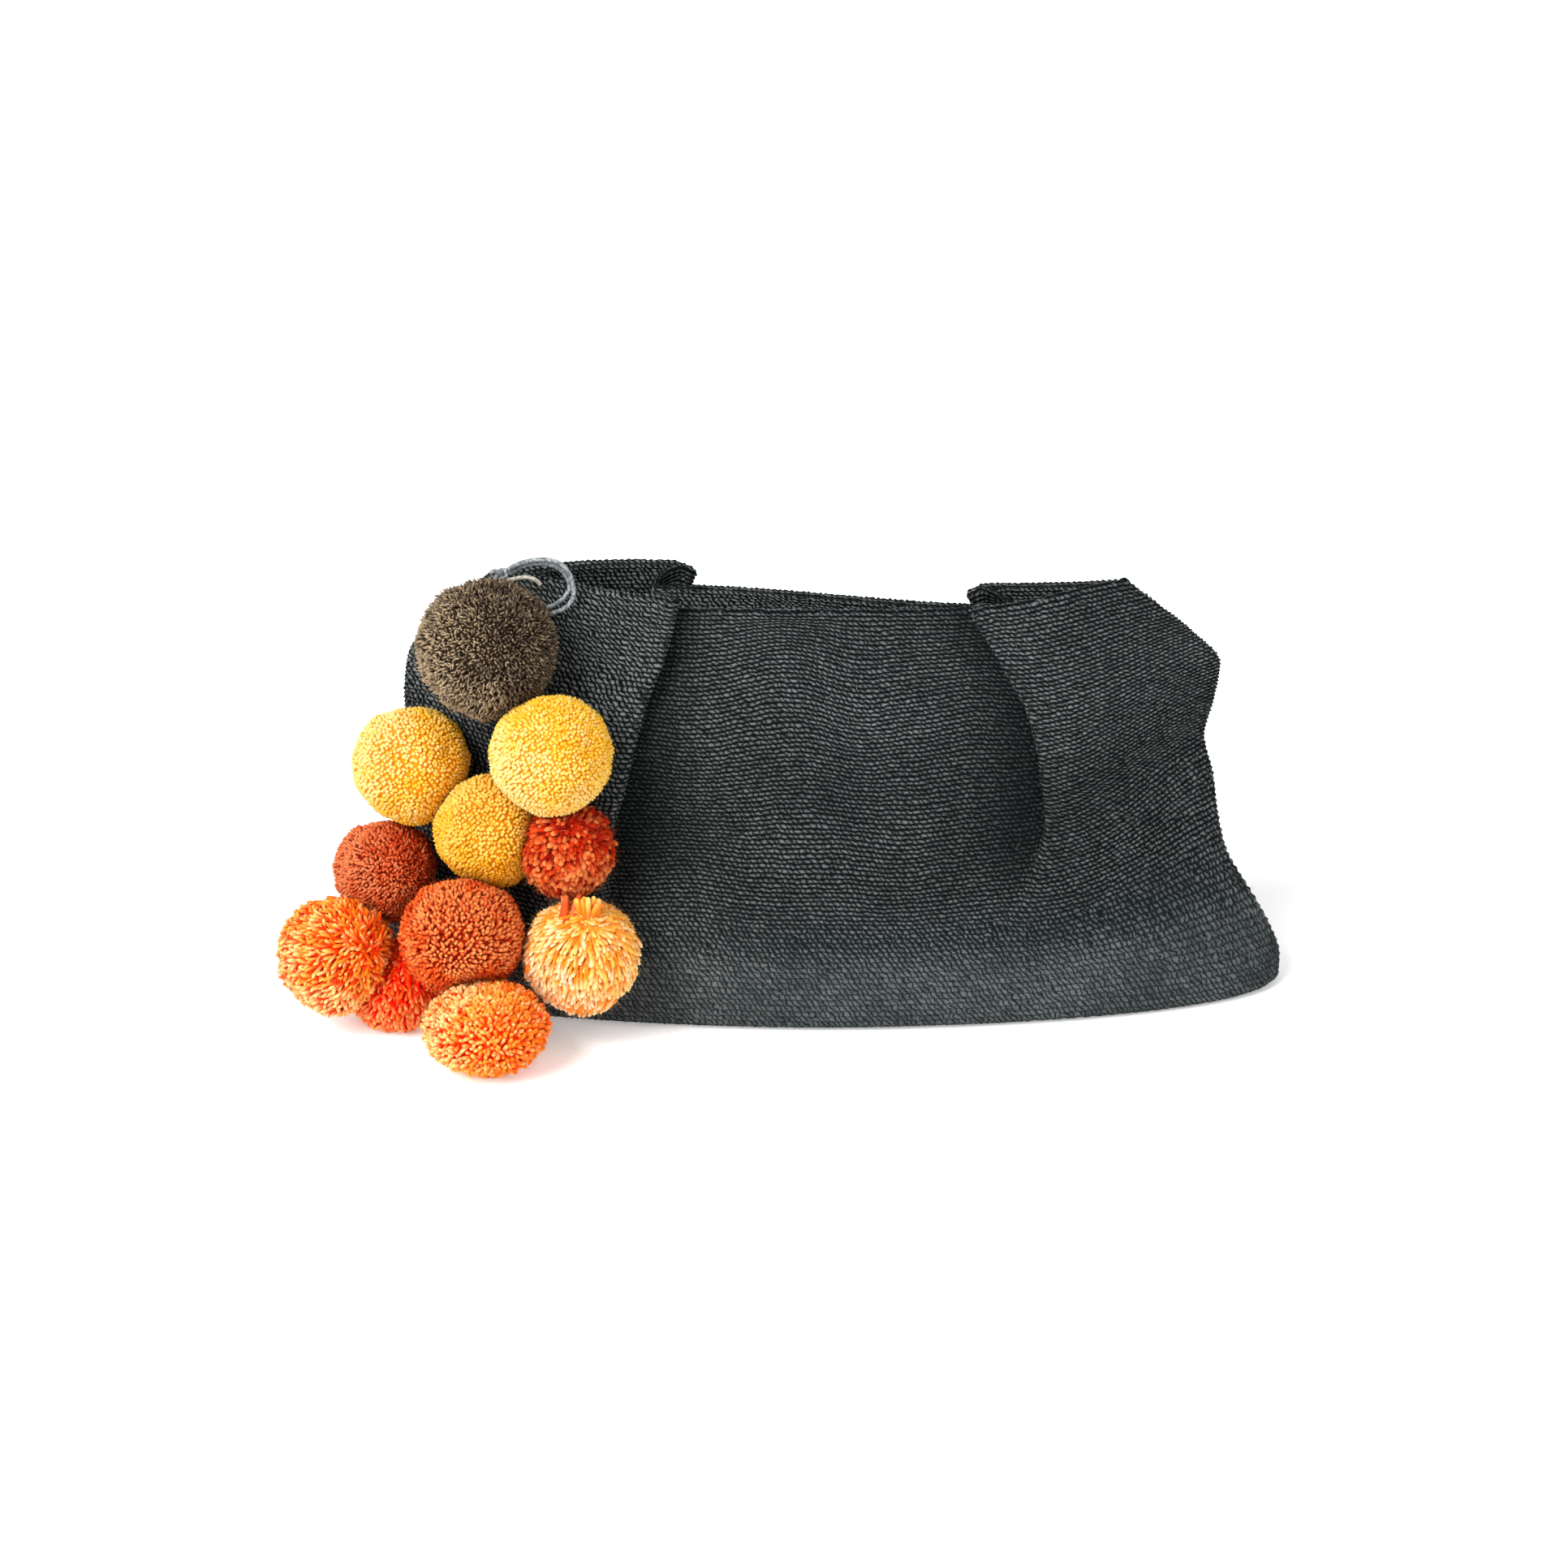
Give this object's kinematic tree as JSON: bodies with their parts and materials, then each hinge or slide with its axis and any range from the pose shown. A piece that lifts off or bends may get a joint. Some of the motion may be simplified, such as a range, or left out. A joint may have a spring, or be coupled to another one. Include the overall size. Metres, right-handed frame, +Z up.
{
  "type": "sisal clutch",
  "caption": "Soft crocheted sisal clutch standing open, with box pleats that gather its sides into raised ears, and a bunch of wool pompoms hung from one corner.",
  "frame": {"origin": "on the floor under the middle of the bag's flat base", "axes": "+X along the bag to the viewer's right, away from the pompoms; +Y towards the back wall; +Z up"},
  "size_m": [0.3695, 0.1558, 0.1692],
  "materials": {
    "sisal_charcoal": "matt twisted sisal in tight crochet",
    "wool_brown": "cut wool pile, dark at the root",
    "wool_yellow": "close cut wool pile",
    "wool_pale_yellow": "close cut wool pile",
    "wool_mustard": "close cut wool pile",
    "wool_rust": "cut wool pile",
    "wool_dark_rust": "cut wool pile",
    "wool_burnt_orange": "cut wool pile",
    "wool_orange": "loose cut wool strands",
    "wool_red_orange": "loose cut wool strands",
    "wool_peach": "loose cut wool strands",
    "lace_grey": "waxed lace with a low sheen",
    "lace_cut_end": "pale cut end of the lace"
  },
  "bodies": {
    "root": {"bag_body": "sisal_charcoal", "pompom_brown": "wool_brown", "pompom_yellow_left": "wool_yellow", "pompom_yellow_right": "wool_pale_yellow", "pompom_mustard": "wool_mustard", "pompom_rust_left": "wool_rust", "pompom_rust_right": "wool_dark_rust", "pompom_rust_centre": "wool_burnt_orange", "pompom_orange_left": "wool_orange", "pompom_red_orange": "wool_red_orange", "pompom_orange_bottom": "wool_orange", "pompom_peach": "wool_peach", "lace_knot": "lace_grey", "lace_loop_outer": "lace_grey", "lace_loop_inner": "lace_grey", "lace_tail": "lace_cut_end"}
  },
  "joints": []
}
